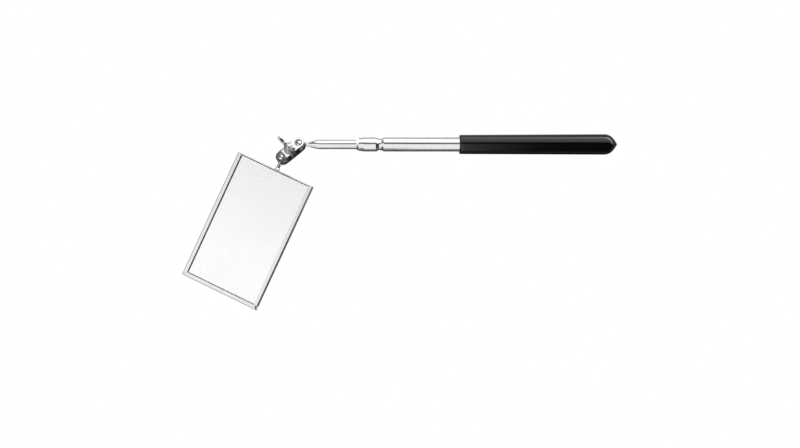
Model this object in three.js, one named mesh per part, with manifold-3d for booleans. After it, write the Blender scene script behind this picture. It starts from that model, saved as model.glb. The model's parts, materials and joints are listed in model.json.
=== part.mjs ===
// A telescoping inspection mirror. A framed rectangular mirror hangs on a double ball joint, and the
// ball joint sits on a rod that slides and turns inside a tube with a vinyl grip.
// Millimetres, +Z up. The tool lies on a table with its mirror facing up, and +X runs along the
// handle from the mirror's end to the grip's end.

import * as THREE from 'three';
import { mergeVertices } from 'three/addons/utils/BufferGeometryUtils.js';
import Module from 'manifold-3d';

const wasm = await Module();
wasm.setup();

// ---- Driving dimensions -------------------------------------------------------------------------

const degrees = Math.PI / 180;

// Clearances: between pieces that turn or slide on each other, and between pieces that only rest.
const runningGap = 0.12;
const restGap = 0.2;

// Outer tube and grip, measured along X from the tube's mouth.
const tubeRadius = 4.75;
const tubeWall = 0.4;
const tubeLength = 165;
const mouthRadius = 4.35;
const neckLength = 4.6;
const neckMidLength = 2.3;
const neckMidRadius = 4.62;
const grooveStart = 11.8;
const grooveDepth = 0.9;
const grooveRamp = 1.9;
const grooveFloor = 1.5;
const gripStart = 67.8;
const gripFrontRadius = 6.45;
const gripRearRadius = 6.87;
const gripLength = 106.4;
const gripNoseLength = 9;
const gripEdgeRound = 0.9;

// Inner rod, measured along X from the centre of the ball on its end.
const rodRadius = 3.175;
const rodWall = 0.4;
const rodTipX = 4.5;
const rodTipRadius = 1.3;
const rodShoulderX = 13.2;
const rodTailX = 171.5;
const rodBeadX = 157;
const rodBeadHeight = 0.7;
const rodShankRadius = 0.85;
const frictionSpringLength = 10;

// How far the mouth of the outer tube stands from the ball as the tool lies: the rod is partly out.
const mouthX = 39.9;

// Double ball joint. Heights along its normal are counted from the plane through both ball centres.
const ballRadius = 3.175;
const ballSpacing = 14.82;
const plateInnerFace = 2.45;
const plateThickness = 1.1;
const plateLobeRadius = 3.85;
const ballHoleRadius = 2.35;
const screwRadius = 1.95;
const screwHeadRadius = 3.1;
const screwHeadHeight = 1.8;
const screwNeckSide = 3.6;
const flatWasherRadius = 3.9;
const flatWasherThickness = 0.5;
const springWasherRadius = 3.35;
const springWasherThickness = 0.8;
const nutHeight = 3.2;
const nutBaseRadius = 3;
const nutTopRadius = 2.6;
const wingHalfWidth = 1.9;
const wingThickness = 1.8;
const screwEndAboveNut = 0.9;

// Mirror: a glass plate on a card backing, in a sheet-steel tray with lips on three sides.
const glassWidth = 54;
const glassLength = 88.9;
const glassThickness = 2;
const cardThickness = 0.5;
const trayWidth = 56.4;
const trayLength = 91.2;
const trayDepth = 4;
const sheetThickness = 0.6;
const lipWidth = 2.8;
const cornerNotch = 1.4;
const stemReach = 8.75;
const stemOffset = 0.6;
const stemRadius = 1.2;
const stemNeckRadius = 0.95;
const stemFootRadius = 1.8;

// How the tool lies. The mirror is turned about Z, its right long edge is raised and its far end is
// lower than its stem, so that it stands on one corner.
const mirrorTurn = -25.3 * degrees;
const mirrorRoll = 5.5 * degrees;
const mirrorPitch = 2.2 * degrees;
const clampLean = 23 * degrees;
const clampLeanBearing = 112.7 * degrees;
const clampBearing = 219.4 * degrees;
const wingTurn = -80 * degrees;

// Facets round the tubes, the hardware, the balls and half of a wing's outline.
const tubeSides = 32;
const hardwareSides = 28;
const ballSides = 20;
const wingSides = 8;

// ---- Materials ----------------------------------------------------------------------------------

function chrome() {
  return new THREE.MeshStandardMaterial({ color: 0xdfe1e3, roughness: 0.12, metalness: 1 });
}

function platedSteel() {
  return new THREE.MeshStandardMaterial({ color: 0xb9bcc0, roughness: 0.28, metalness: 1 });
}

function brass() {
  return new THREE.MeshStandardMaterial({ color: 0xc9a352, roughness: 0.35, metalness: 1 });
}

function blackVinyl() {
  return new THREE.MeshStandardMaterial({ color: 0x08080a, roughness: 0.22, metalness: 0 });
}

function naturalNylon() {
  return new THREE.MeshStandardMaterial({ color: 0xe9e7de, roughness: 0.45, metalness: 0 });
}

function mirrorGlass() {
  return new THREE.MeshStandardMaterial({ color: 0xf1f3f3, roughness: 0.03, metalness: 1 });
}

function greyCard() {
  return new THREE.MeshStandardMaterial({ color: 0x8d8577, roughness: 0.9, metalness: 0 });
}

// ---- Shape helpers ------------------------------------------------------------------------------

// Each outline point is [place along the axis, radius].
function turned(outline, sides) {
  const points = outline.map(([along, radius]) => new THREE.Vector2(radius, along));
  return new THREE.LatheGeometry(points, sides);
}

function turnedAlongX(outline, sides) {
  return turned(outline, sides).rotateZ(-Math.PI / 2);
}

function turnedAlongZ(outline, sides) {
  return turned(outline, sides).rotateX(Math.PI / 2);
}

// A turned tube: the outer outline, and back along the inner one to where it began.
function tubeOutline(outer, inner) {
  return [...outer, ...[...inner].reverse(), outer[0]];
}

function circlePath(x, y, radius) {
  const path = new THREE.Path();
  path.absarc(x, y, radius, 0, 2 * Math.PI, false);
  return path;
}

function slab(shape, thickness, curveSegments) {
  return new THREE.ExtrudeGeometry(shape, { depth: thickness, bevelEnabled: false, curveSegments });
}

function splitRing(innerRadius, outerRadius, thickness, slit) {
  const start = slit / outerRadius / 2;
  const end = 2 * Math.PI - start;
  const shape = new THREE.Shape();
  shape.absarc(0, 0, outerRadius, start, end, false);
  shape.absarc(0, 0, innerRadius, end, start, true);
  return slab(shape, thickness, hardwareSides);
}

function block(width, length, depth, x, y, z) {
  return new THREE.BoxGeometry(width, length, depth).translate(x, y, z);
}

// Points on a sphere about the origin, from the axis out to a given radius: the cupped end of a pin
// that ends a small gap from a ball.
function cuppedEnd(pinRadius) {
  const cupRadius = ballRadius + runningGap;
  const steps = 3;
  const points = [];
  for (let step = 0; step <= steps; step += 1) {
    const radius = (pinRadius * step) / steps;
    points.push([Math.sqrt(cupRadius ** 2 - radius ** 2), radius]);
  }
  return points;
}

function toSolid(geometry) {
  const plain = geometry.clone();
  plain.deleteAttribute('normal');
  plain.deleteAttribute('uv');
  const merged = mergeVertices(plain);
  const corners = merged.index.array;
  const triangles = [];
  for (let i = 0; i < corners.length; i += 3) {
    const [a, b, c] = corners.slice(i, i + 3);
    if (a !== b && b !== c && c !== a) triangles.push(a, b, c);
  }
  const mesh = new wasm.Mesh({
    numProp: 3,
    vertProperties: new Float32Array(merged.attributes.position.array),
    triVerts: new Uint32Array(triangles),
  });
  return new wasm.Manifold(mesh);
}

function toGeometry(solid) {
  const mesh = solid.getMesh();
  const geometry = new THREE.BufferGeometry();
  geometry.setAttribute('position', new THREE.BufferAttribute(mesh.vertProperties, mesh.numProp));
  geometry.setIndex(new THREE.BufferAttribute(mesh.triVerts, 1));
  return geometry;
}

function part(name, geometry, material) {
  const mesh = new THREE.Mesh(geometry, material);
  mesh.name = name;
  return mesh;
}

// ---- Handle: tube, bush, end plug and grip, with X = 0 at the mouth --------------------------------

// A necked mouth, a rolled groove that keeps the bush in, and a plain run to the rear.
function outerTube() {
  const floorStart = grooveStart + grooveRamp;
  const floorEnd = floorStart + grooveFloor;
  const grooveEnd = floorEnd + grooveRamp;
  const outer = [
    [0, mouthRadius],
    [neckMidLength, neckMidRadius],
    [neckLength, tubeRadius],
    [grooveStart, tubeRadius],
    [floorStart, tubeRadius - grooveDepth],
    [floorEnd, tubeRadius - grooveDepth],
    [grooveEnd, tubeRadius],
    [tubeLength, tubeRadius],
  ];
  const inner = outer.map(([along, radius]) => [along, radius - tubeWall]);
  return part('outer_tube', turnedAlongX(tubeOutline(outer, inner), tubeSides), chrome());
}

// The bush fills the necked mouth up to the groove, and its nose shows in front of the mouth.
function mouthBush() {
  const noseLength = 1.3;
  const noseChamfer = 0.3;
  const noseRound = 0.15;
  const wallAtMouth = mouthRadius - tubeWall - runningGap;
  const wallInTube = tubeRadius - tubeWall - runningGap;
  const rearEnd = grooveStart - tubeWall;
  const bore = rodRadius + runningGap;
  const outer = [
    [-noseLength, wallAtMouth - noseRound],
    [-noseLength + noseChamfer, wallAtMouth],
    [restGap, wallAtMouth],
    [neckLength + restGap, wallInTube],
    [rearEnd, wallInTube],
  ];
  const inner = [
    [-noseLength, bore],
    [rearEnd, bore],
  ];
  return part('mouth_bush', turnedAlongX(tubeOutline(outer, inner), tubeSides), naturalNylon());
}

// Closes the tube's rear end and stops the rod when it is pushed right in.
function tubeEndPlug() {
  const spigotLength = 5.5;
  const flangeThickness = 1.2;
  const spigotRadius = tubeRadius - tubeWall - runningGap;
  const flangeStart = tubeLength + restGap;
  const outline = [
    [tubeLength - spigotLength, 0],
    [tubeLength - spigotLength, spigotRadius],
    [flangeStart, spigotRadius],
    [flangeStart, tubeRadius],
    [flangeStart + flangeThickness, tubeRadius],
    [flangeStart + flangeThickness, 0],
  ];
  return part('tube_end_plug', turnedAlongX(outline, tubeSides), naturalNylon());
}

// Slightly thicker towards the rear, with a rounded front edge and a blunt pointed end.
function handleGrip() {
  const frontSteps = 3;
  const noseSteps = 8;
  const nosePower = 2.45;
  const noseStart = gripStart + gripLength - gripNoseLength;
  const outer = [];
  for (let step = 0; step <= frontSteps; step += 1) {
    const angle = (step / frontSteps) * 90 * degrees;
    const along = gripStart + gripEdgeRound * (1 - Math.cos(angle));
    outer.push([along, gripFrontRadius - gripEdgeRound * (1 - Math.sin(angle))]);
  }
  for (let step = 0; step <= noseSteps; step += 1) {
    const share = step / noseSteps;
    outer.push([noseStart + gripNoseLength * share, gripRearRadius * (1 - share ** nosePower)]);
  }
  const bore = tubeRadius + runningGap;
  const plugRoom = 2;
  const boreEnd = tubeLength + plugRoom;
  const outline = [...outer, [boreEnd, 0], [boreEnd, bore], [gripStart, bore], outer[0]];
  return part('handle_grip', turnedAlongX(outline, tubeSides), blackVinyl());
}

// ---- Rod, with X = 0 at the centre of its ball -----------------------------------------------------

// A thin tube swaged down over the ball's shank in front, with a rolled bead near its tail.
function innerTube() {
  const tipWall = 0.34;
  const shoulderEase = 1.2;
  const shoulderDrop = 0.18;
  const outer = [
    [rodTipX, rodTipRadius],
    [rodShoulderX - shoulderEase, rodRadius - shoulderDrop],
    [rodShoulderX, rodRadius],
    [rodBeadX, rodRadius],
    [rodBeadX + rodBeadHeight, rodRadius + rodBeadHeight],
    [rodBeadX + 2 * rodBeadHeight, rodRadius],
    [rodTailX, rodRadius],
  ];
  const inner = [
    [rodTipX, rodTipRadius - tipWall],
    [rodShoulderX, rodRadius - rodWall],
    [rodTailX, rodRadius - rodWall],
  ];
  return part('inner_tube', turnedAlongX(tubeOutline(outer, inner), tubeSides), chrome());
}

// The pin behind the ball, held in the swaged tip by its upset end.
function rodBallShank() {
  const upsetStart = 10.4;
  const upsetFull = 11;
  const upsetEnd = 12.4;
  const upsetRadius = 1.75;
  const outline = [
    ...cuppedEnd(rodShankRadius),
    [upsetStart, rodShankRadius],
    [upsetFull, upsetRadius],
    [upsetEnd, upsetRadius],
    [upsetEnd, 0],
  ];
  return part('rod_ball_shank', turnedAlongX(outline, hardwareSides), platedSteel());
}

// Closes the rod's tail, and its flange keeps the friction spring on.
function tailPlug() {
  const spigotLength = 5;
  const flangeThickness = 1.3;
  const flangeRadius = rodRadius + rodBeadHeight;
  const spigotRadius = rodRadius - rodWall - runningGap;
  const flangeStart = rodTailX + restGap;
  const outline = [
    [rodTailX - spigotLength, 0],
    [rodTailX - spigotLength, spigotRadius],
    [flangeStart, spigotRadius],
    [flangeStart, flangeRadius],
    [flangeStart + flangeThickness, flangeRadius],
    [flangeStart + flangeThickness, 0],
  ];
  return part('tail_plug', turnedAlongX(outline, hardwareSides), brass());
}

// A split sleeve between the bead and the tail plug that drags on the outer tube's bore.
function tailFrictionSpring() {
  const slit = 1.2;
  const innerRadius = rodRadius + runningGap;
  const outerRadius = tubeRadius - tubeWall - runningGap;
  const sleeve = splitRing(innerRadius, outerRadius, frictionSpringLength, slit);
  sleeve.rotateY(Math.PI / 2);
  sleeve.translate(rodTailX - frictionSpringLength - restGap, 0, 0);
  return part('tail_friction_spring', sleeve, brass());
}

// ---- Ball joint, with X along the line of the balls and Z along the screw --------------------------

function ball(name) {
  return part(name, new THREE.SphereGeometry(ballRadius, ballSides, ballSides * 0.6), chrome());
}

function clampPlate(name, lowerFace, centreHole) {
  const reach = ballSpacing / 2;
  const shape = new THREE.Shape();
  shape.absarc(reach, 0, plateLobeRadius, -Math.PI / 2, Math.PI / 2, false);
  shape.absarc(-reach, 0, plateLobeRadius, Math.PI / 2, 1.5 * Math.PI, false);
  shape.holes.push(circlePath(reach, 0, ballHoleRadius), circlePath(-reach, 0, ballHoleRadius), centreHole);
  const geometry = slab(shape, plateThickness, hardwareSides / 2).translate(0, 0, lowerFace);
  return part(name, geometry, chrome());
}

function frontPlate() {
  return clampPlate('front_plate', plateInnerFace, circlePath(0, 0, screwRadius + restGap));
}

function rearPlate() {
  const half = screwNeckSide / 2 + restGap;
  const square = new THREE.Path();
  square.moveTo(-half, -half);
  square.lineTo(half, -half);
  square.lineTo(half, half);
  square.lineTo(-half, half);
  square.closePath();
  return clampPlate('rear_plate', -plateInnerFace - plateThickness, square);
}

const plateOuterFace = plateInnerFace + plateThickness;
const flatWasherFace = plateOuterFace + restGap;
const springWasherFace = flatWasherFace + flatWasherThickness + restGap;
const nutFace = springWasherFace + springWasherThickness + restGap;
const screwEnd = nutFace + nutHeight + screwEndAboveNut;

// A domed head behind the rear plate, a square neck in that plate's square hole, and a plain shank.
function clampScrew() {
  const headTop = -plateOuterFace - restGap;
  const rimHeight = 0.6;
  const domeSteps = 4;
  const endChamfer = 0.4;
  const outline = [];
  for (let step = 0; step <= domeSteps; step += 1) {
    const angle = (step / domeSteps) * 90 * degrees;
    outline.push([
      headTop - rimHeight - (screwHeadHeight - rimHeight) * Math.cos(angle),
      screwHeadRadius * Math.sin(angle),
    ]);
  }
  outline.push(
    [headTop, screwHeadRadius],
    [headTop, screwRadius],
    [screwEnd - endChamfer, screwRadius],
    [screwEnd, screwRadius - endChamfer],
    [screwEnd, 0],
  );
  const neckHeight = plateThickness;
  const neck = block(screwNeckSide, screwNeckSide, neckHeight, 0, 0, headTop + neckHeight / 2);
  const screw = toSolid(turnedAlongZ(outline, hardwareSides)).add(toSolid(neck));
  return part('clamp_screw', toGeometry(screw), platedSteel());
}

function flatWasher() {
  const bore = screwRadius + restGap;
  const outer = [
    [flatWasherFace, flatWasherRadius],
    [flatWasherFace + flatWasherThickness, flatWasherRadius],
  ];
  const inner = outer.map(([along]) => [along, bore]);
  return part('flat_washer', turnedAlongZ(tubeOutline(outer, inner), hardwareSides), platedSteel());
}

function springWasher() {
  const slit = 0.8;
  const ring = splitRing(screwRadius + restGap, springWasherRadius, springWasherThickness, slit);
  ring.translate(0, 0, springWasherFace);
  return part('spring_washer', ring, platedSteel());
}

// One wing of the nut: a rounded strip that leans out from the hub, in the plane of X and Z.
function nutWing() {
  const rootRadius = 2.4;
  const rootHeight = 2;
  const tipRadius = 5.7;
  const tipHeight = 6.8;
  const lean = Math.atan2(tipHeight - rootHeight, tipRadius - rootRadius);
  const shape = new THREE.Shape();
  shape.absarc(tipRadius, tipHeight, wingHalfWidth, lean - Math.PI / 2, lean + Math.PI / 2, false);
  shape.absarc(rootRadius, rootHeight, wingHalfWidth, lean + Math.PI / 2, lean + 1.5 * Math.PI, false);
  const wing = slab(shape, wingThickness, wingSides);
  wing.translate(0, 0, -wingThickness / 2);
  wing.rotateX(Math.PI / 2);
  wing.translate(0, 0, nutFace);
  return wing;
}

function wingNut() {
  const bore = screwRadius + runningGap;
  const drillStart = nutFace - 1;
  const drillEnd = nutFace + 10;
  const hub = turnedAlongZ(
    [
      [nutFace, 0],
      [nutFace, nutBaseRadius],
      [nutFace + nutHeight, nutTopRadius],
      [nutFace + nutHeight, 0],
    ],
    hardwareSides,
  );
  const drill = turnedAlongZ(
    [
      [drillStart, 0],
      [drillStart, bore],
      [drillEnd, bore],
      [drillEnd, 0],
    ],
    hardwareSides,
  );
  const nut = toSolid(hub)
    .add(toSolid(nutWing()))
    .add(toSolid(nutWing().rotateZ(Math.PI)))
    .subtract(toSolid(drill));
  const mesh = part('wing_nut', toGeometry(nut), platedSteel());
  mesh.rotation.z = wingTurn;
  return mesh;
}

// ---- Mirror, with its centre at the origin, Y towards the stem and Z out of the glass ---------------

const ballFromMirror = new THREE.Vector3(stemOffset, trayLength / 2 + stemReach, 0);

// A straight pin from the ball to the tray's top wall, with a foot where it is joined on.
function mirrorStem() {
  const neckEnd = -4.3;
  const neckChamfer = 0.3;
  const footFace = -stemReach + restGap;
  const footMid = footFace + 0.75;
  const footMidRadius = 1.4;
  const footTop = footFace + 1.5;
  const outline = [
    [footFace, 0],
    [footFace, stemFootRadius],
    [footMid, footMidRadius],
    [footTop, stemRadius],
    [neckEnd - neckChamfer, stemRadius],
    [neckEnd, stemNeckRadius],
    ...cuppedEnd(stemNeckRadius)
      .reverse()
      .map(([along, radius]) => [-along, radius]),
  ];
  const stem = part('mirror_stem', turned(outline, hardwareSides), chrome());
  stem.position.copy(ballFromMirror);
  return stem;
}

// Folded from one sheet: a back, four walls, and lips over the glass on all sides but the stem's.
// The sheet is notched where two lips meet.
function mirrorFrame() {
  const wall = sheetThickness;
  const cavityDepth = trayDepth - 2 * wall;
  const openingLength = trayLength - lipWidth - wall;
  const openingCentreY = (lipWidth - wall) / 2;
  const overcut = 1;
  const lipPlane = trayDepth / 2 - wall / 2;
  let tray = toSolid(block(trayWidth, trayLength, trayDepth, 0, 0, 0))
    .subtract(toSolid(block(trayWidth - 2 * wall, trayLength - 2 * wall, cavityDepth, 0, 0, 0)))
    .subtract(
      toSolid(
        block(trayWidth - 2 * lipWidth, openingLength, wall + overcut, 0, openingCentreY, lipPlane),
      ),
    );
  for (const side of [-1, 1]) {
    const notch = block(cornerNotch, cornerNotch, wall + overcut, 0, 0, lipPlane);
    notch.rotateZ(45 * degrees);
    notch.translate(side * (trayWidth / 2 - lipWidth), -trayLength / 2 + lipWidth, 0);
    tray = tray.subtract(toSolid(notch));
  }
  return part('mirror_frame', toGeometry(tray), chrome());
}

const cardFace = -trayDepth / 2 + sheetThickness + restGap / 2;
const glassFace = cardFace + cardThickness + restGap / 2;

function backingPad() {
  const inset = 1;
  const pad = block(glassWidth - inset, glassLength - inset, cardThickness, 0, 0, cardFace + cardThickness / 2);
  return part('backing_pad', pad, greyCard());
}

function mirrorPlate() {
  const plate = block(glassWidth, glassLength, glassThickness, 0, 0, glassFace + glassThickness / 2);
  return part('mirror_glass', plate, mirrorGlass());
}

// ---- Assembly -----------------------------------------------------------------------------------

const handle = new THREE.Group();
handle.add(outerTube(), mouthBush(), tubeEndPlug(), handleGrip());
handle.position.x = mouthX;

const rod = new THREE.Group();
rod.add(innerTube(), rodBallShank(), tailPlug(), tailFrictionSpring(), ball('rod_ball'));

const mirror = new THREE.Group();
mirror.add(mirrorFrame(), mirrorPlate(), backingPad(), mirrorStem());
mirror.rotation.set(mirrorPitch, -mirrorRoll, mirrorTurn, 'ZYX');

// The grip lies on the table along its rear end, and the mirror's lowest corner is on the table too.
// That settles how far the mirror's ball is above the rod's ball.
const tableBelowRod = gripRearRadius;
const lowestCorner = new THREE.Vector3(-trayWidth / 2, -trayLength / 2, -trayDepth / 2);
const cornerFromBall = lowestCorner.sub(ballFromMirror).applyEuler(mirror.rotation);
const ballRise = -cornerFromBall.z - tableBelowRod;
const ballRun = Math.sqrt(ballSpacing ** 2 - ballRise ** 2);
const mirrorBallCentre = new THREE.Vector3(
  ballRun * Math.cos(clampBearing),
  ballRun * Math.sin(clampBearing),
  ballRise,
);
mirror.position.copy(mirrorBallCentre).sub(ballFromMirror.clone().applyEuler(mirror.rotation));

const mirrorBall = ball('mirror_ball');
mirrorBall.position.copy(mirrorBallCentre);

// The clamp's X runs from the rod's ball to the mirror's ball, and its Z leans away from vertical.
const clamp = new THREE.Group();
clamp.name = 'clamp_frame';
clamp.add(frontPlate(), rearPlate(), clampScrew(), flatWasher(), springWasher(), wingNut());
const clampX = mirrorBallCentre.clone().normalize();
const leanDirection = new THREE.Vector3(
  Math.sin(clampLean) * Math.cos(clampLeanBearing),
  Math.sin(clampLean) * Math.sin(clampLeanBearing),
  Math.cos(clampLean),
);
const clampY = leanDirection.cross(clampX).normalize();
const clampZ = clampX.clone().cross(clampY);
clamp.quaternion.setFromRotationMatrix(new THREE.Matrix4().makeBasis(clampX, clampY, clampZ));
clamp.position.copy(mirrorBallCentre).multiplyScalar(0.5);

// The origin is the middle of the tool's footprint on the table.
const inspectionMirror = new THREE.Group();
inspectionMirror.add(handle, rod, clamp, mirrorBall, mirror);
const extent = new THREE.Box3().setFromObject(inspectionMirror, true);
const middle = extent.getCenter(new THREE.Vector3());
inspectionMirror.position.set(-middle.x, -middle.y, -extent.min.z);

export default inspectionMirror;
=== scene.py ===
"""The looks of a telescoping inspection mirror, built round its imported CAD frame.

Pieces are modelled in millimetres, each in its own local frame, and placed in metres. Every piece
stands for one CAD node, rides on that node's body and takes that node's material slot.
"""

import json
import math

import bmesh
import bpy
from mathutils import Matrix, Vector
from mathutils.geometry import delaunay_2d_cdt


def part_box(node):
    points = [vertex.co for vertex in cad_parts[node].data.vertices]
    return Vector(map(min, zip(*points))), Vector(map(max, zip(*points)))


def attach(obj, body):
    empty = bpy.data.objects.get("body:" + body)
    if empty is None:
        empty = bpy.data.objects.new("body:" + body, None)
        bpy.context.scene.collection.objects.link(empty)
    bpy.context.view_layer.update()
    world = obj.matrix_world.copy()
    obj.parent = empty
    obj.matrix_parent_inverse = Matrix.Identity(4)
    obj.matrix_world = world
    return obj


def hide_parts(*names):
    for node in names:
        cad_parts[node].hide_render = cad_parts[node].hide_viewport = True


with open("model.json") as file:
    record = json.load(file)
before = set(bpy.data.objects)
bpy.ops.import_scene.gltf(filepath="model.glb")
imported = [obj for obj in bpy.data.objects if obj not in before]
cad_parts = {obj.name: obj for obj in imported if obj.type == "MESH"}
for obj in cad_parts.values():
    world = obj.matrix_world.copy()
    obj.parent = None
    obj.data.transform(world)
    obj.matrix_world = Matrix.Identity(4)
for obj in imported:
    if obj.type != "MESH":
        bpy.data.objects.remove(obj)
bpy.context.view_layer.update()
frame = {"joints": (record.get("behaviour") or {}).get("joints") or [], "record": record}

MM = 0.001

# ---- Places, read from the frame ----

JOINTS = {joint["name"]: joint for joint in frame["joints"]}
MOUNTS = {mount["name"]: mount for mount in frame["record"]["mounts"]}
NODE_SLOT = {row["node"]: row["material_slot"] for row in frame["record"]["subparts"]}
NODE_BODY = {
    node: body
    for body, nodes in frame["record"]["behaviour"]["bodies"].items()
    for node in nodes
}

ROD_BALL = Vector(JOINTS["clamp_swing"]["pos_m"])
MIRROR_BALL = Vector(JOINTS["mirror_swing"]["pos_m"])
CLAMP_CENTRE = Vector(JOINTS["wing_nut_turn"]["pos_m"])
CLAMP_NORMAL = Vector(JOINTS["clamp_swing"]["axis"])
STEM_DIRECTION = Vector(JOINTS["mirror_spin"]["axis"])
MIRROR_NORMAL = -Vector(MOUNTS["tray_back"]["axis"])
TRAY_BACK = Vector(MOUNTS["tray_back"]["pos_m"])


def placement(origin, x_axis, z_axis):
    """A local frame in metres: its origin, and its X and Z directions."""
    z = z_axis.normalized()
    x = (x_axis - z * x_axis.dot(z)).normalized()
    y = z.cross(x)
    return Matrix.Translation(origin) @ Matrix((x, y, z)).transposed().to_4x4()


UP = Vector((0, 0, 1))
ALONG = Vector((1, 0, 0))
MOUTH = Vector((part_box("outer_tube")[0].x, ROD_BALL.y, ROD_BALL.z))
HANDLE_FRAME = placement(MOUTH, ALONG, UP)
ROD_FRAME = placement(ROD_BALL, ALONG, UP)
CLAMP_FRAME = placement(CLAMP_CENTRE, MIRROR_BALL - ROD_BALL, CLAMP_NORMAL)
MIRROR_X = (-STEM_DIRECTION).cross(MIRROR_NORMAL)
TRAY_DEPTH = 4.0
MIRROR_CENTRE = TRAY_BACK + MIRROR_NORMAL * (TRAY_DEPTH / 2 * MM)
MIRROR_FRAME = placement(MIRROR_CENTRE, MIRROR_X, MIRROR_NORMAL)
STEM_FRAME = placement(MIRROR_BALL, STEM_DIRECTION, MIRROR_NORMAL)


def length_of(node):
    low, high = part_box(node)
    return (high.x - low.x) / MM


# ---- Driving dimensions, in millimetres ----

RUNNING_GAP = 0.12
REST_GAP = 0.2

TUBE_LENGTH = length_of("outer_tube")
TUBE_RADIUS = 4.75
TUBE_WALL = 0.4
MOUTH_RADIUS = 4.35
NECK_LENGTH = 4.6
GROOVE_START = 11.8
GROOVE_RAMP = 1.9
GROOVE_FLOOR = 1.5
GROOVE_DEPTH = 0.9
GRIP_START = (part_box("handle_grip")[0].x - MOUTH.x) / MM
GRIP_LENGTH = length_of("handle_grip")
GRIP_FRONT_RADIUS = 6.45
GRIP_REAR_RADIUS = 6.87
GRIP_NOSE = 9.0

ROD_RADIUS = 3.175
ROD_WALL = 0.4
ROD_TIP_X = 4.5
ROD_TIP_RADIUS = 1.3
ROD_SHOULDER_X = 13.2
ROD_TAIL_X = 171.5
ROD_BEAD_X = 157.0
ROD_BEAD_HEIGHT = 0.7
SHANK_RADIUS = 0.85
FRICTION_SPRING_LENGTH = 10.0

BALL_RADIUS = 3.175
BALL_SPACING = (MIRROR_BALL - ROD_BALL).length / MM
PLATE_INNER = 2.45
PLATE_THICKNESS = 1.1
LOBE_RADIUS = 3.85
BALL_HOLE = 2.35
SCREW_RADIUS = 1.95
SCREW_PITCH = 0.7
SCREW_HEAD_RADIUS = 3.1
SCREW_HEAD_HEIGHT = 1.8
SCREW_NECK = 3.6
FLAT_WASHER_RADIUS = 3.9
FLAT_WASHER_THICKNESS = 0.5
SPRING_WASHER_RADIUS = 3.35
SPRING_WASHER_THICKNESS = 0.8
NUT_HEIGHT = 3.2
NUT_BASE_RADIUS = 3.0
NUT_TOP_RADIUS = 2.6
WING_HALF_WIDTH = 1.9
WING_THICKNESS = 1.8
WING_ROOT = Vector((2.4, WING_HALF_WIDTH + 0.1))
WING_TIP = Vector((5.7, 6.8))
WING_TURN = math.radians(-80)

GLASS_WIDTH = 54.0
GLASS_LENGTH = 88.9
GLASS_THICKNESS = 2.0
CARD_THICKNESS = 0.5
TRAY_WIDTH = 56.4
TRAY_LENGTH = 91.2
SHEET = 0.6
LIP = 2.8
STEM_REACH = 8.75
STEM_RADIUS = 1.2
STEM_NECK_RADIUS = 0.95
STEM_FOOT_RADIUS = 1.8

PLATE_OUTER = PLATE_INNER + PLATE_THICKNESS
FLAT_WASHER_FACE = PLATE_OUTER + REST_GAP
SPRING_WASHER_FACE = FLAT_WASHER_FACE + FLAT_WASHER_THICKNESS + REST_GAP
NUT_FACE = SPRING_WASHER_FACE + SPRING_WASHER_THICKNESS + REST_GAP
SCREW_END = NUT_FACE + NUT_HEIGHT + 0.9
CARD_FACE = -TRAY_DEPTH / 2 + SHEET + REST_GAP / 2
GLASS_FACE = CARD_FACE + CARD_THICKNESS + REST_GAP / 2

ROUND = 96
FINE_ROUND = 64


# ---- Mesh helpers ----


def rounded(corners, closed=False, steps=5):
    """Points along a line through corners (u, v, radius), with each corner rounded to its radius."""
    points = []
    last = len(corners) - 1
    for i, (u, v, radius) in enumerate(corners):
        corner = Vector((u, v))
        if radius == 0 or (not closed and i in (0, last)):
            points.append((u, v))
            continue
        back = Vector(corners[i - 1][:2]) - corner
        ahead = Vector(corners[(i + 1) % len(corners)][:2]) - corner
        half = back.angle(ahead) / 2
        cut = min(radius / math.tan(half), 0.48 * back.length, 0.48 * ahead.length)
        arc = cut * math.tan(half)
        back.normalize()
        ahead.normalize()
        centre = corner + (back + ahead).normalized() * (arc / math.sin(half))
        start = corner + back * cut - centre
        end = corner + ahead * cut - centre
        turn = start.angle(end)
        for step in range(steps + 1):
            share = step / steps
            from_start = math.sin((1 - share) * turn) / math.sin(turn)
            from_end = math.sin(share * turn) / math.sin(turn)
            point = centre + start * from_start + end * from_end
            points.append((point.x, point.y))
    return points


def turned(outline, closed=False, segments=ROUND, ripple=None):
    """A bmesh turned about X from points (along, radius). ripple(along, angle) is added to the radius."""
    bm = bmesh.new()
    rings = []
    for along, radius in outline:
        if radius < 1e-6:
            rings.append([bm.verts.new((along, 0, 0))])
            continue
        ring = []
        for k in range(segments):
            angle = 2 * math.pi * k / segments
            r = radius + (ripple(along, angle) if ripple else 0)
            ring.append(bm.verts.new((along, r * math.cos(angle), r * math.sin(angle))))
        rings.append(ring)
    join_all(bm, rings + rings[:1] if closed else rings)
    return bm


def join_rings(bm, a, b):
    """Faces between two rings of vertices, either of which may be one point."""
    count = max(len(a), len(b))
    if count == 1:
        return
    for k in range(count):
        following = (k + 1) % count
        corners = [a[k % len(a)], a[following % len(a)], b[following % len(b)], b[k % len(b)]]
        kept = []
        for corner in corners:
            if corner not in kept:
                kept.append(corner)
        bm.faces.new(kept)


def join_all(bm, rings):
    for a, b in zip(rings, rings[1:]):
        join_rings(bm, a, b)


def add_object(name, data):
    item = bpy.data.objects.new(name, data)
    bpy.context.scene.collection.objects.link(item)
    return item


def rectangle(x, y, *more):
    """The corners of a rectangle about the origin, each with any further values."""
    return [(side_x * x, side_y * y, *more) for side_x, side_y in ((-1, -1), (1, -1), (1, 1), (-1, 1))]


AXIS_TO_X = Matrix.Identity(4)
AXIS_TO_Z = Matrix(((0, 1, 0, 0), (0, 0, 1, 0), (1, 0, 0, 0), (0, 0, 0, 1)))


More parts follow.
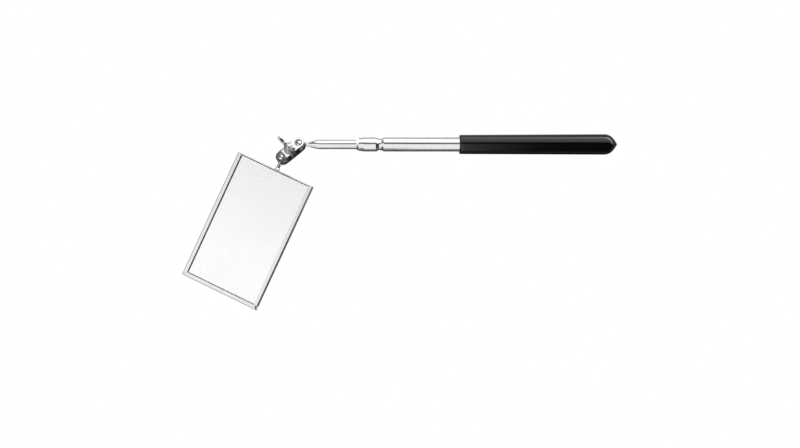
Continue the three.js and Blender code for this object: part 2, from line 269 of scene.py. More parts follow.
def add_piece(name, node, bm, local_frame, *materials, axis=AXIS_TO_X, sharp=40):
    """A shaded object in metres, from a bmesh in millimetres. It takes the node's place, body and
    material slot. The clamp's pieces stand askew, so their meshes are written straight in the
    world's axes, and their boxes stay tight."""
    bm.transform(Matrix.Scale(MM, 4) @ axis)
    if local_frame is CLAMP_FRAME:
        bm.transform(CLAMP_FRAME)
        local_frame = Matrix.Identity(4)
    bmesh.ops.recalc_face_normals(bm, faces=bm.faces)
    mesh = bpy.data.meshes.new(name)
    bm.to_mesh(mesh)
    bm.free()
    mesh.polygons.foreach_set("use_smooth", [True] * len(mesh.polygons))
    mesh.set_sharp_from_angle(angle=math.radians(sharp))
    for material in materials:
        mesh.materials.append(material)
    piece = add_object(name, mesh)
    piece.matrix_world = local_frame
    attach(piece, NODE_BODY[node])
    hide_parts(node)


def modified(bm, *modifiers):
    """A new bmesh: the given one after modifiers, each a (type, settings) pair, in millimetres."""
    mesh = bpy.data.meshes.new("work")
    bm.to_mesh(mesh)
    bm.free()
    work = add_object("work", mesh)
    for kind, settings in modifiers:
        modifier = work.modifiers.new(kind, kind)
        for key, value in settings.items():
            setattr(modifier, key, value)
    graph = bpy.context.evaluated_depsgraph_get()
    result = bmesh.new()
    result.from_object(work, graph)
    bpy.data.objects.remove(work)
    bpy.data.meshes.remove(mesh)
    return result


def prism(points, low, high):
    """A bmesh of a closed outline in XY, standing from z low to z high."""
    bm = bmesh.new()
    bottom = [bm.verts.new((x, y, low)) for x, y in points]
    top = [bm.verts.new((x, y, high)) for x, y in points]
    bm.faces.new(list(reversed(bottom)))
    bm.faces.new(top)
    join_rings(bm, bottom, top)
    return bm


def add_shell(bm, other, matrix=Matrix.Identity(4)):
    """Copies another bmesh into bm, and frees it."""
    other.transform(matrix)
    mesh = bpy.data.meshes.new("shell")
    other.to_mesh(mesh)
    other.free()
    bm.from_mesh(mesh)
    bpy.data.meshes.remove(mesh)


def smooth_step(t):
    t = min(max(t, 0), 1)
    return t * t * (3 - 2 * t)


# ---- Materials ----


def map_range(tree, value, start, end, low, high, kind="LINEAR"):
    """From low to high as value goes from start to end."""
    ramp = tree.nodes.new("ShaderNodeMapRange")
    ramp.interpolation_type = kind
    for name, number in (("From Min", start), ("From Max", end), ("To Min", low), ("To Max", high)):
        ramp.inputs[name].default_value = number
    tree.links.new(value, ramp.inputs["Value"])
    return ramp.outputs["Result"]


class Nodes:
    """One material's nodes, with coordinates in millimetres along the piece's own axes."""

    def __init__(self, name):
        self.material = bpy.data.materials.new(name)
        self.material.use_nodes = True
        self.tree = self.material.node_tree
        self.shader = self.tree.nodes["Principled BSDF"]
        coordinates = self.tree.nodes.new("ShaderNodeTexCoord")
        self.millimetres = self.tree.nodes.new("ShaderNodeVectorMath")
        self.millimetres.operation = "SCALE"
        self.millimetres.inputs["Scale"].default_value = 1 / MM
        self.link(coordinates.outputs["Object"], self.millimetres.inputs[0])

    def link(self, source, target):
        self.tree.links.new(source, target)

    def set(self, **sockets):
        """Gives the shader's sockets plain values, or links them to other nodes' outputs."""
        for name, value in sockets.items():
            socket = self.shader.inputs[name.replace("_", " ")]
            if isinstance(value, bpy.types.NodeSocket):
                self.link(value, socket)
            else:
                socket.default_value = value

    def noise(self, size, detail, stretch=(1, 1, 1)):
        """Noise with features about size millimetres across, longer where stretch is more than 1."""
        squeeze = self.tree.nodes.new("ShaderNodeVectorMath")
        squeeze.operation = "MULTIPLY"
        squeeze.inputs[1].default_value = [1 / s for s in stretch]
        self.link(self.millimetres.outputs[0], squeeze.inputs[0])
        noise = self.tree.nodes.new("ShaderNodeTexNoise")
        noise.inputs["Scale"].default_value = 1 / size
        noise.inputs["Detail"].default_value = detail
        noise.inputs["Roughness"].default_value = 0.55
        self.link(squeeze.outputs[0], noise.inputs["Vector"])
        return noise.outputs["Fac"]

    def between(self, value, low, high, start=0.3, end=0.7):
        return map_range(self.tree, value, start, end, low, high)

    def tint(self, value, dark, light, start=0.3, end=0.7):
        """Colours from dark to light as value goes from start to end."""
        ramp = self.tree.nodes.new("ShaderNodeValToRGB")
        ramp.color_ramp.elements[0].position = start
        ramp.color_ramp.elements[0].color = (*dark, 1)
        ramp.color_ramp.elements[1].position = end
        ramp.color_ramp.elements[1].color = (*light, 1)
        self.link(value, ramp.inputs["Fac"])
        return ramp.outputs["Color"]

    def bump(self, value, height, below=None):
        """A bump of height millimetres, on top of another one."""
        bump = self.tree.nodes.new("ShaderNodeBump")
        bump.inputs["Distance"].default_value = height * MM
        self.link(value, bump.inputs["Height"])
        if below:
            self.link(below, bump.inputs["Normal"])
        return bump.outputs["Normal"]


def metal(name, dark, light, rough_low, rough_high, waviness, streaks=(1, 1, 1)):
    """Polished or plated metal: a cloudy tint, fine streaks in its roughness and bump along the way
    it was worked, and slow waves waviness millimetres high."""
    nodes = Nodes(name)
    streak = nodes.noise(0.35, detail=4, stretch=streaks)
    cloud = nodes.noise(6.0, detail=2)
    nodes.set(Metallic=1.0, Base_Color=nodes.tint(cloud, dark, light))
    nodes.set(Roughness=nodes.between(streak, rough_low, rough_high))
    fine = nodes.bump(streak, 0.0006)
    if waviness:
        fine = nodes.bump(nodes.noise(4.0, detail=1), waviness, below=fine)
    nodes.set(Normal=fine)
    return nodes.material


def chrome(name, streaks=(10, 1, 1), waviness=0.0015):
    return metal(name, (0.64, 0.645, 0.65), (0.68, 0.68, 0.68), 0.03, 0.08, waviness, streaks)


def plated_steel(name):
    return metal(name, (0.50, 0.51, 0.52), (0.60, 0.605, 0.61), 0.12, 0.24, 0.004)


def shade_dark_steel(name):
    """Rough, thinly plated steel that was never polished, painted very dark as the shade it sits in:
    between the clamp plates, at the mirror lip's edge and round the rod ball's pin.
    """
    return metal(name, (0.10, 0.102, 0.105), (0.21, 0.212, 0.215), 0.25, 0.42, 0.01)


def cast_zinc(name):
    return metal(name, (0.60, 0.605, 0.61), (0.70, 0.705, 0.71), 0.14, 0.28, 0.006)


def rolled_brass(name):
    return metal(name, (0.62, 0.44, 0.18), (0.80, 0.62, 0.30), 0.18, 0.34, 0.003, (6, 1, 1))


def black_vinyl(name):
    """Dipped vinyl: deep gloss, a slow unevenness along the dip and a fine orange peel."""
    nodes = Nodes(name)
    nodes.set(IOR=1.47)
    flow = nodes.noise(9.0, detail=1, stretch=(4, 1, 1))
    peel = nodes.noise(0.5, detail=3)
    nodes.set(Base_Color=nodes.tint(flow, (0.0004, 0.0004, 0.0005), (0.0009, 0.0009, 0.0010)))
    nodes.set(Roughness=nodes.between(peel, 0.07, 0.13))
    nodes.set(Normal=nodes.bump(peel, 0.0012, below=nodes.bump(flow, 0.03)))
    return nodes.material


def natural_nylon(name):
    nodes = Nodes(name)
    nodes.set(Subsurface_Weight=0.2, Subsurface_Scale=0.8 * MM)
    grain = nodes.noise(0.3, detail=4)
    cloud = nodes.noise(3.0, detail=2)
    nodes.set(Base_Color=nodes.tint(cloud, (0.74, 0.73, 0.69), (0.85, 0.84, 0.80)))
    nodes.set(Roughness=nodes.between(grain, 0.35, 0.5))
    nodes.set(Normal=nodes.bump(grain, 0.002))
    return nodes.material


def grey_card(name):
    nodes = Nodes(name)
    fibre = nodes.noise(0.25, detail=5, stretch=(1, 5, 1))
    nodes.set(Base_Color=nodes.tint(fibre, (0.25, 0.22, 0.18), (0.42, 0.38, 0.32)))
    nodes.set(Roughness=nodes.between(fibre, 0.8, 0.95))
    nodes.set(Normal=nodes.bump(fibre, 0.02))
    return nodes.material


def silvering(name):
    nodes = Nodes(name)
    haze = nodes.noise(14.0, detail=2)
    nodes.set(Metallic=1.0, Base_Color=nodes.tint(haze, (0.785, 0.785, 0.785), (0.795, 0.795, 0.795)))
    nodes.set(Roughness=nodes.between(haze, 0.0, 0.015))
    return nodes.material


def float_glass(name):
    """Clear glass with the faint marks of handling on its face."""
    nodes = Nodes(name)
    nodes.set(Transmission_Weight=1.0, IOR=1.52)
    smear = nodes.noise(12.0, detail=3, stretch=(1, 2.5, 1))
    nodes.set(Base_Color=nodes.tint(smear, (0.985, 0.988, 0.985), (0.992, 0.993, 0.992)))
    nodes.set(Roughness=nodes.between(smear, 0.0, 0.02, start=0.45, end=0.8))
    return nodes.material


def ground_edge(name):
    """The cut and seamed edge of the glass."""
    nodes = Nodes(name)
    nodes.set(Transmission_Weight=0.6, IOR=1.52)
    grind = nodes.noise(0.2, detail=4, stretch=(3, 3, 1))
    nodes.set(Base_Color=nodes.tint(grind, (0.45, 0.58, 0.52), (0.62, 0.72, 0.67)))
    nodes.set(Roughness=nodes.between(grind, 0.3, 0.55))
    nodes.set(Normal=nodes.bump(grind, 0.01))
    return nodes.material


# ---- Handle ----


def tube_radius_at(x):
    """The outer tube's radius along its length: necked mouth, rolled groove, plain run."""
    neck = smooth_step(x / NECK_LENGTH)
    radius = MOUTH_RADIUS + (TUBE_RADIUS - MOUTH_RADIUS) * neck
    floor_start = GROOVE_START + GROOVE_RAMP
    floor_end = floor_start + GROOVE_FLOOR
    down = smooth_step((x - GROOVE_START) / GROOVE_RAMP)
    up = smooth_step((x - floor_end) / GROOVE_RAMP)
    return radius - GROOVE_DEPTH * (down - up)


def make_outer_tube():
    groove_end = GROOVE_START + 2 * GROOVE_RAMP + GROOVE_FLOOR
    steps = 60
    stations = [groove_end * step / steps for step in range(1, steps + 1)]
    outer = [(x, tube_radius_at(x)) for x in stations]
    inner = [(x, radius - TUBE_WALL) for x, radius in outer]
    lip = rounded([
        (stations[0], MOUTH_RADIUS - TUBE_WALL, 0),
        (0, MOUTH_RADIUS - TUBE_WALL, 0.24),
        (0, MOUTH_RADIUS, 0.24),
        (stations[0], MOUTH_RADIUS, 0),
    ])
    tail = rounded([
        (groove_end, TUBE_RADIUS, 0),
        (TUBE_LENGTH, TUBE_RADIUS, 0.2),
        (TUBE_LENGTH, TUBE_RADIUS - TUBE_WALL, 0.1),
        (groove_end, TUBE_RADIUS - TUBE_WALL, 0),
    ])
    outline = lip[1:-1] + outer[:-1] + tail + list(reversed(inner[:-1]))
    shape = turned(outline, closed=True)
    add_piece("outer_tube_chromed", "outer_tube", shape, HANDLE_FRAME, chrome("outer_tube_chrome"))


def make_mouth_bush():
    nose = 1.3
    at_mouth = MOUTH_RADIUS - TUBE_WALL - RUNNING_GAP
    in_tube = TUBE_RADIUS - TUBE_WALL - RUNNING_GAP
    rear = GROOVE_START - TUBE_WALL
    bore = ROD_RADIUS + RUNNING_GAP
    outline = rounded([
        (-nose, bore, 0.08),
        (-nose, at_mouth, 0.16),
        (REST_GAP, at_mouth, 0.5),
        (NECK_LENGTH + REST_GAP, in_tube, 0.8),
        (rear, in_tube, 0.2),
        (rear, bore, 0.1),
    ], closed=True)
    shape = turned(outline, closed=True)
    add_piece("mouth_bush_nylon", "mouth_bush", shape, HANDLE_FRAME, natural_nylon("bush_nylon"))


def plug_shape(tube_end, spigot, radius, flange, flange_radius, nose, corner):
    """A plug along X for a tube's end: a spigot with a rounded nose, and a flange over the end."""
    face = tube_end + REST_GAP
    outline = rounded([
        (tube_end - spigot, 0, 0),
        (tube_end - spigot, radius, nose),
        (face, radius, corner),
        (face, flange_radius, 0.15),
        (face + flange, flange_radius, 0.3),
        (face + flange, 0, 0),
    ])
    return turned(outline, segments=FINE_ROUND)


def make_end_plug():
    radius = TUBE_RADIUS - TUBE_WALL - RUNNING_GAP
    shape = plug_shape(TUBE_LENGTH, 5.5, radius, 1.2, TUBE_RADIUS, nose=0.5, corner=0.1)
    add_piece("tube_end_plug_nylon", "tube_end_plug", shape, HANDLE_FRAME, natural_nylon("plug_nylon"))


def make_grip():
    """A dipped sleeve: rounded front edge, slight swell to the rear, blunt pointed end."""
    end = GRIP_START + GRIP_LENGTH
    nose_start = end - GRIP_NOSE
    nose_power = 2.45
    nose_steps = 40
    tip_round = 0.012
    tip_blunting = 0.15
    bore = TUBE_RADIUS + RUNNING_GAP
    bore_end = TUBE_LENGTH + 2
    body_start = GRIP_START + 3
    body_radius = GRIP_FRONT_RADIUS + 0.03
    front = rounded([
        (bore_end, 0, 0),
        (bore_end, bore, 0.6),
        (GRIP_START, bore, 0.15),
        (GRIP_START, GRIP_FRONT_RADIUS, 0.9),
        (body_start, body_radius, 0),
    ], steps=8)
    body_steps = 40
    body = []
    for step in range(1, body_steps):
        share = step / body_steps
        x = body_start + (nose_start - body_start) * share
        body.append((x, body_radius + (GRIP_REAR_RADIUS - body_radius) * share))
    nose = []
    for step in range(nose_steps):
        share = math.sin(step / nose_steps * math.pi / 2)
        blunt = math.sqrt(max(1 - share, 0) / (1 - share + tip_round))
        radius = GRIP_REAR_RADIUS * (1 - share**nose_power)
        nose.append((nose_start + GRIP_NOSE * share, radius * (1 - tip_blunting + tip_blunting * blunt)))
    nose.append((end, 0))
    shape = turned(front + body + nose)
    vinyl = black_vinyl("grip_vinyl")
    add_piece("handle_grip_vinyl", "handle_grip", shape, HANDLE_FRAME, vinyl, sharp=60)


# ---- Rod ----


def cup(radius, steps=6):
    """The hollow end of a pin that ends a small gap from a ball, from the axis outwards."""
    reach = BALL_RADIUS + RUNNING_GAP
    points = []
    for step in range(steps + 1):
        r = radius * step / steps
        points.append((math.sqrt(reach**2 - r**2), r))
    return points


def make_inner_tube():
    tip_wall = 0.34
    bore_step = (ROD_TIP_X + 0.5, ROD_TIP_RADIUS - tip_wall + 0.05, 0)
    ease = 0.06
    steps = 24
    swage = []
    for step in range(1, steps):
        share = step / steps
        x = ROD_TIP_X + (ROD_SHOULDER_X - ROD_TIP_X) * share
        eased = share - ease * math.sin(2 * math.pi * share)
        swage.append((x, ROD_TIP_RADIUS + (ROD_RADIUS - ROD_TIP_RADIUS) * eased))
    bead_steps = 12
    bead = []
    for step in range(bead_steps + 1):
        share = step / bead_steps
        radius = ROD_RADIUS + ROD_BEAD_HEIGHT * math.sin(math.pi * share) ** 2
        bead.append((ROD_BEAD_X + 2 * ROD_BEAD_HEIGHT * share, radius))
    shoulder = rounded([
        swage[-1] + (0,),
        (ROD_SHOULDER_X, ROD_RADIUS, 0.8),
        (ROD_SHOULDER_X + 2, ROD_RADIUS, 0),
    ])
    tip = rounded([
        bore_step,
        (ROD_TIP_X, ROD_TIP_RADIUS - tip_wall, 0.08),
        (ROD_TIP_X, ROD_TIP_RADIUS, 0.2),
        swage[0] + (0,),
    ])
    tail = rounded([
        bead[-1] + (0,),
        (ROD_TAIL_X, ROD_RADIUS, 0.12),
        (ROD_TAIL_X, ROD_RADIUS - ROD_WALL, 0.12),
        (ROD_SHOULDER_X, ROD_RADIUS - ROD_WALL, 2),
        bore_step,
    ])
    outline = tip[1:-1] + swage[:-1] + shoulder + bead + tail[1:]
    shape = turned(outline, closed=True)
    add_piece("inner_tube_chromed", "inner_tube", shape, ROD_FRAME, chrome("inner_tube_chrome"))


def make_shank():
    """The pin from the ball into the rod, with a collar that keeps it behind the swaged end."""
    pin_end = 10.5
    collar_start = 11.1
    collar_end = 12.4
    collar_radius = 1.75
    outline = cup(SHANK_RADIUS) + rounded([
        (pin_end - 0.5, SHANK_RADIUS, 0),
        (pin_end, SHANK_RADIUS, 0.3),
        (collar_start, collar_radius, 0.3),
        (collar_end, collar_radius, 0.3),
        (collar_end, 0, 0),
    ])
    shape = turned(outline, segments=FINE_ROUND)
    # The pin's very dark steel is painted shade in the gap between the ball and the rod's end.
    add_piece("rod_ball_shank_steel", "rod_ball_shank", shape, ROD_FRAME, shade_dark_steel("shank_steel"))


def make_tail_plug():
    radius = ROD_RADIUS - ROD_WALL - RUNNING_GAP
    flange_radius = ROD_RADIUS + ROD_BEAD_HEIGHT
    shape = plug_shape(ROD_TAIL_X, 5.0, radius, 1.3, flange_radius, nose=0.4, corner=0.05)
    add_piece("tail_plug_brass", "tail_plug", shape, ROD_FRAME, rolled_brass("tail_plug_brass"))


def make_friction_spring():
    """A split brass sleeve, belled in the middle so that it drags on the bore."""
    slit = 1.2
    outer = TUBE_RADIUS - TUBE_WALL - RUNNING_GAP
    inner = ROD_RADIUS + RUNNING_GAP
    start = ROD_TAIL_X - FRICTION_SPRING_LENGTH - REST_GAP
    wall = 0.45
    belly_power = 0.8
    along_steps = 20
    turn_steps = 60
    edge = slit / outer / 2
    bm = bmesh.new()
    grids = []
    for offset in (0, -wall):
        grid = []
        for i in range(along_steps + 1):
            share = i / along_steps
            belly = math.sin(math.pi * share) ** belly_power
            radius = inner + wall + (outer - inner - wall) * belly + offset
            row = []
            for k in range(turn_steps + 1):
                angle = edge + (2 * math.pi - 2 * edge) * k / turn_steps
                x = start + FRICTION_SPRING_LENGTH * share
                row.append(bm.verts.new((x, radius * math.cos(angle), radius * math.sin(angle))))
            grid.append(row)
        grids.append(grid)
    outside, inside = grids
    for i in range(along_steps):
        for k in range(turn_steps):
            for grid in grids:
                bm.faces.new((grid[i][k], grid[i][k + 1], grid[i + 1][k + 1], grid[i + 1][k]))
        for k in (0, turn_steps):
            bm.faces.new((outside[i][k], outside[i + 1][k], inside[i + 1][k], inside[i][k]))
    for i in (0, along_steps):
        for k in range(turn_steps):
            bm.faces.new((outside[i][k], outside[i][k + 1], inside[i][k + 1], inside[i][k]))
    brass = rolled_brass("friction_brass")
    add_piece("tail_friction_sleeve", "tail_friction_spring", bm, ROD_FRAME, brass)


def make_ball(name, node, local_frame):
    """A polished ball, as a turned piece so that it has no pinched rows."""
    steps = 40
    outline = []
    for step in range(steps + 1):
        angle = math.pi * step / steps
        radius = 0 if step in (0, steps) else BALL_RADIUS * math.sin(angle)
        outline.append((-BALL_RADIUS * math.cos(angle), radius))
    polished = chrome(NODE_SLOT[node], streaks=(1, 1, 1), waviness=0.0)
    add_piece(name, node, turned(outline, segments=FINE_ROUND), local_frame, polished, sharp=80)


# ---- Ball joint clamp ----


def obround(radius, steps=28, side_parts=6):
    """The plate's outline: two half circles about the ball centres, and straight sides."""
    points = []
    for side in (1, -1):
        for step in range(steps + 1):
            angle = -math.pi / 2 + math.pi * step / steps
            x = BALL_SPACING / 2 + radius * math.cos(angle)
            y = radius * math.sin(angle)
            points.append((side * x, side * y))
        for step in range(1, side_parts):
            x = BALL_SPACING / 2 * (1 - 2 * step / side_parts)
            points.append((side * x, side * radius))
    return points


def circle(x, y, radius, steps=40):
    angles = [2 * math.pi * k / steps for k in range(steps)]
    return [(x + radius * math.cos(angle), y + radius * math.sin(angle)) for angle in angles]


def rounded_rectangle(x, y, corner):
    return rounded(rectangle(x, y, corner), closed=True, steps=4)


def round_hole(inset):
    return circle(0, 0, SCREW_RADIUS + REST_GAP + inset)


def square_hole(inset):
    half = SCREW_NECK / 2 + REST_GAP + inset
    return rounded_rectangle(half, half, 0.4)


PLATE_FLAT = 5.0
PLATE_END_SLOPE = math.tan(math.radians(9))
PLATE_END_EASE = 0.8
PLATE_INNER_SHARE = 0.35


def end_drop(x, level):
    """How far a plate's surface falls towards the balls beyond its flat middle. The ends are coined
    thinner, so the inner face falls less than the outer one."""
    beyond = max(abs(x) - PLATE_FLAT, 0)
    eased = beyond**2 / (beyond + PLATE_END_EASE) if beyond else 0
    through = (level - PLATE_INNER) / PLATE_THICKNESS
    return PLATE_END_SLOPE * eased * (PLATE_INNER_SHARE + (1 - PLATE_INNER_SHARE) * through)


def make_plate(name, node, centre_hole, outward):
    """A stamped plate with rolled-over edges, polished outside; its edges and inner face are rough and
    painted dark as shade between the plates. outward is 1 for the plate on the nut's side and -1 for the
    other."""
    edge = 0.22
    edge_steps = 4
    seat = BALL_SPACING / 2
    rings_round_ball = (0.45, 0.7, 0.95, 1.2)
    rings_round_screw = (0.9, 1.4)
    rim_room = 0.1
    bm = bmesh.new()

    def loops(inset):
        return [
            obround(LOBE_RADIUS - inset),
            circle(seat, 0, BALL_HOLE + inset),
            circle(-seat, 0, BALL_HOLE + inset),
            centre_hole(inset),
        ]

    def height(x, y, level):
        return outward * (level - end_drop(x, level))

    def ring(points, level):
        return [bm.verts.new((x, y, height(x, y, level))) for x, y in points]

    levels = []
    for step in range(edge_steps + 1):
        angle = math.pi / 2 * step / edge_steps
        levels.append((edge * (1 - math.sin(angle)), PLATE_INNER + edge * (1 - math.cos(angle))))
    top = [(inset, PLATE_INNER + PLATE_OUTER - level) for inset, level in reversed(levels)]
    stations = levels + top
    rows = [[ring(points, level) for points in loops(inset)] for inset, level in stations]
    for rings in zip(*rows):
        join_all(bm, rings)

    extra = []
    for side in (1, -1):
        for reach in rings_round_ball:
            extra += circle(side * seat, 0, BALL_HOLE + reach)
    for reach in rings_round_screw:
        extra += circle(0, 0, SCREW_RADIUS + reach, 28)
    extra = [p for p in extra if abs(p[1]) < LOBE_RADIUS - edge - rim_room]
    cap(bm, rows[0], extra, lambda x, y: height(x, y, PLATE_INNER))
    # The edges and the inner face take the second material: painted shade between the plates.
    for face in bm.faces:
        face.material_index = 1
    cap(bm, rows[-1], extra, lambda x, y: height(x, y, PLATE_OUTER))
    polished = chrome(NODE_SLOT[node], streaks=(1, 1, 1), waviness=0.002)
    add_piece(name, node, bm, CLAMP_FRAME, polished, shade_dark_steel(f"{node}_inside_painted_shade"), sharp=50)


def cap(bm, row, extra, height):
    """Fills the flat between an outline and its holes, with extra points inside."""
    ring_verts = [vert for ring in row for vert in ring]
    points = [Vector((v.co.x, v.co.y)) for v in ring_verts]
    edges = []
    start = 0
    for ring in row:
        count = len(ring)
        edges += [(start + k, start + (k + 1) % count) for k in range(count)]
        start += count
    points += [Vector(p) for p in extra]
    coords, _, faces, origins, _, _ = delaunay_2d_cdt(points, edges, [], 0, 1e-6)
    verts = []
    for co, origin in zip(coords, origins):
        known = [i for i in origin if i < len(ring_verts)]
        if known:
            verts.append(ring_verts[known[0]])
        else:
            verts.append(bm.verts.new((co.x, co.y, height(co.x, co.y))))
    outline, *holes = [[(v.co.x, v.co.y) for v in ring] for ring in row]
    for face in faces:
        x = sum(coords[i].x for i in face) / len(face)
        y = sum(coords[i].y for i in face) / len(face)
        if inside(outline, x, y) and not any(inside(hole, x, y) for hole in holes):
            bm.faces.new([verts[i] for i in face])
    loose = [v for v in bm.verts if not v.link_faces]
    bmesh.ops.delete(bm, geom=loose, context="VERTS")


def inside(loop, x, y):
    """True if the point is inside the closed loop."""
    crossings = 0
    for (x0, y0), (x1, y1) in zip(loop, loop[1:] + loop[:1]):
        if (y0 > y) != (y1 > y) and x < x0 + (y - y0) * (x1 - x0) / (y1 - y0):
            crossings += 1
    return crossings % 2 == 1


THREAD_DEPTH = 0.3
CREST_SHARE = 0.12
FLANK_SHARE = 0.76


def thread_radius(along, angle):
    """How far the thread's surface is from its crest, at a place along the screw and round it."""
    phase = (along / SCREW_PITCH - angle / (2 * math.pi)) % 1
    from_crest = abs(2 * phase - 1)
    return -THREAD_DEPTH * min(max((from_crest - CREST_SHARE) / FLANK_SHARE, 0), 1)


def make_screw():
    """A domed head, a square neck in the rear plate's hole, and a threaded shank."""
    head_top = -PLATE_OUTER - REST_GAP
    dome_steps = 10
    rim = 0.6
    shell_gap = 0.02
    rings_per_turn = 8
    plain_end = 0.5
    bevel = 0.35
    bevel_length = 0.1
    end_inset = 0.55
    head = []
    for step in range(dome_steps + 1):
        angle = math.pi / 2 * step / dome_steps
        along = head_top - rim - (SCREW_HEAD_HEIGHT - rim) * math.cos(angle)
        head.append((along, SCREW_HEAD_RADIUS * math.sin(angle)))
    head += rounded([
        (head_top - rim / 2, SCREW_HEAD_RADIUS, 0),
        (head_top, SCREW_HEAD_RADIUS, 0.12),
        (head_top, SCREW_RADIUS * 0.5, 0),
        (head_top + 0.1, 0, 0),
    ])
    bm = turned(head, segments=FINE_ROUND)
    half = SCREW_NECK / 2
    neck_low = head_top + shell_gap
    neck_high = neck_low + PLATE_THICKNESS
    bm.transform(AXIS_TO_Z)
    add_shell(bm, prism(rounded_rectangle(half, half, 0.3), neck_low, neck_high))
    start = neck_high + shell_gap
    shank = [(start, 0)]
    count = int((SCREW_END - plain_end - neck_high) / SCREW_PITCH * rings_per_turn)
    for ring in range(count + 1):
        shank.append((start + ring * SCREW_PITCH / rings_per_turn, SCREW_RADIUS))
    shank += [
        (SCREW_END - bevel_length, SCREW_RADIUS - bevel),
        (SCREW_END, SCREW_RADIUS - end_inset),
        (SCREW_END, 0),
    ]
    thread_end = SCREW_END - plain_end - 0.05

    def thread(along, angle):
        return thread_radius(along, angle) if along < thread_end else 0

    add_shell(bm, turned(shank, segments=48, ripple=thread), AXIS_TO_Z)
    add_piece("clamp_screw_steel", "clamp_screw", bm, CLAMP_FRAME, plated_steel("screw_steel"), sharp=45)


def make_flat_washer():
    bore = SCREW_RADIUS + REST_GAP
    low = FLAT_WASHER_FACE
    high = low + FLAT_WASHER_THICKNESS
    outline = rounded([
        (low, bore, 0.06),
        (low, FLAT_WASHER_RADIUS, 0.18),
        (high, FLAT_WASHER_RADIUS, 0.06),
        (high, bore, 0.12),
    ], closed=True)
    shape = turned(outline, closed=True)
    steel = plated_steel("washer_steel")
    add_piece("flat_washer_steel", "flat_washer", shape, CLAMP_FRAME, steel, axis=AXIS_TO_Z)


def make_spring_washer():
    """A split ring whose ends stand apart, with a slightly rounded square section."""
    half_slit = 0.16
    lift = 0.16
    steps = 72
    bore = SCREW_RADIUS + REST_GAP
    body = SPRING_WASHER_THICKNESS - lift
    section = rounded([
        (bore, 0, 0.1),
        (SPRING_WASHER_RADIUS, 0, 0.1),
        (SPRING_WASHER_RADIUS, body, 0.1),
        (bore, body, 0.1),
    ], closed=True, steps=3)
    bm = bmesh.new()
    rings = []
    for step in range(steps + 1):
        share = step / steps
        angle = half_slit + (2 * math.pi - 2 * half_slit) * share
        rise = SPRING_WASHER_FACE + lift * share
        rings.append(
            [bm.verts.new((r * math.cos(angle), r * math.sin(angle), rise + z)) for r, z in section]
        )
    join_all(bm, rings)
    bm.faces.new(rings[0])
    bm.faces.new(list(reversed(rings[-1])))
    steel = plated_steel("spring_washer_steel")
    add_piece("spring_washer_steel", "spring_washer", bm, CLAMP_FRAME, steel)


def wing_outline(steps=14):
    """One wing in the plane of the screw: a rounded strip that leans out from the hub."""
    lean = math.atan2(WING_TIP.y - WING_ROOT.y, WING_TIP.x - WING_ROOT.x)
    points = []
    for centre, start in ((WING_TIP, lean - math.pi / 2), (WING_ROOT, lean + math.pi / 2)):
        for step in range(steps + 1):
            angle = start + math.pi * step / steps
            x = centre.x + WING_HALF_WIDTH * math.cos(angle)
            points.append((x, centre.y + WING_HALF_WIDTH * math.sin(angle)))
    return points


def make_wing_nut():
    """A tapered hub and two flat wings that run into each other with soft fillets."""
    bore = SCREW_RADIUS + RUNNING_GAP
    voxel = 0.13
    smoothing = {"factor": 0.5, "iterations": 9}
    countersink = 0.35
    flare = bore + 1.4
    above_wings = NUT_HEIGHT + 9
    bm = turned(
        [(0, 0), (0, NUT_BASE_RADIUS), (NUT_HEIGHT, NUT_TOP_RADIUS), (NUT_HEIGHT, 0)],
        segments=FINE_ROUND,
    )
    bm.transform(AXIS_TO_Z)
    for turn in (0, math.pi):
        wing = prism(wing_outline(), -WING_THICKNESS / 2, WING_THICKNESS / 2)
        stand_up = Matrix.Rotation(turn, 4, "Z") @ Matrix.Rotation(math.pi / 2, 4, "X")
        add_shell(bm, wing, stand_up)
    bmesh.ops.recalc_face_normals(bm, faces=bm.faces)
    bm = modified(bm, ("REMESH", {"mode": "VOXEL", "voxel_size": voxel}), ("SMOOTH", smoothing))
    outline = rounded([
        (-1, 0, 0),
        (-1, flare, 0),
        (countersink, bore, 0.05),
        (NUT_HEIGHT - countersink, bore, 0.05),
        (NUT_HEIGHT + 1, flare, 0),
        (above_wings, flare, 0),
        (above_wings, 0, 0),
    ])
    drill = turned(outline, segments=FINE_ROUND)
    drill.transform(AXIS_TO_Z)
    bm = cut(bm, drill)
    bm.transform(Matrix.Translation((0, 0, NUT_FACE)) @ Matrix.Rotation(WING_TURN, 4, "Z"))
    add_piece("wing_nut_forged", "wing_nut", bm, CLAMP_FRAME, cast_zinc("wing_nut_steel"), sharp=50)


def cut(bm, tool):
    """bm without the tool's volume."""
    bmesh.ops.recalc_face_normals(tool, faces=tool.faces)
    mesh = bpy.data.meshes.new("tool")
    tool.to_mesh(mesh)
    tool.free()
    cutter = add_object("tool", mesh)
    settings = {"operation": "DIFFERENCE", "solver": "EXACT", "object": cutter}
    result = modified(bm, ("BOOLEAN", settings))
    bpy.data.objects.remove(cutter)
    bpy.data.meshes.remove(mesh)
    return result


# ---- Mirror ----


def make_stem():
    """A straight pin along X, from its cupped end by the ball to its foot on the tray."""
    neck_end = 4.3
    neck_run = 0.4
    step_run = 0.35
    flare_run = 1.5
    rim = 0.35
    foot_face = STEM_REACH - REST_GAP
    outline = cup(STEM_NECK_RADIUS) + rounded([
        (neck_end - neck_run, STEM_NECK_RADIUS, 0),
        (neck_end, STEM_NECK_RADIUS, 0.2),
        (neck_end + step_run, STEM_RADIUS, 0.2),
        (foot_face - flare_run, STEM_RADIUS, 1.1),
        (foot_face - rim, STEM_FOOT_RADIUS, 0.25),
        (foot_face, STEM_FOOT_RADIUS, 0.1),
        (foot_face, 0, 0),
    ], steps=7)
    shape = turned(outline, segments=FINE_ROUND)
    add_piece("mirror_stem_pin", "mirror_stem", shape, STEM_FRAME, chrome("stem_chrome"))


